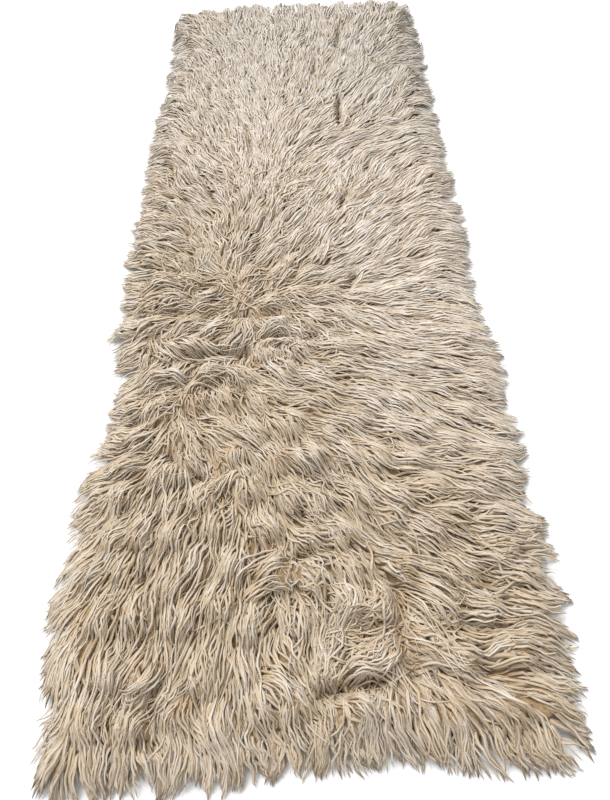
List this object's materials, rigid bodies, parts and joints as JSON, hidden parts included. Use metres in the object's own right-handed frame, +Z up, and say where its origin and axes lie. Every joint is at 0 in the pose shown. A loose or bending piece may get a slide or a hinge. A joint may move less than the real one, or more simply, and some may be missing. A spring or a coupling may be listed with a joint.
{
  "type": "flokati runner",
  "caption": "Long hand-woven wool runner with a deep shaggy pile combed into locks; lies flat on a floor.",
  "frame": {"origin": "on the floor under the middle of the rug", "axes": "+Z up out of the pile, +Y along the rug's length away from the viewer, +X across it to the viewer's right"},
  "size_m": [0.7642, 2.1348, 0.054],
  "materials": {
    "wool": "undyed cream long wool pile, matt with a faint sheen on its fibres"
  },
  "bodies": {
    "root": {"flokati_runner": "wool"}
  },
  "joints": []
}
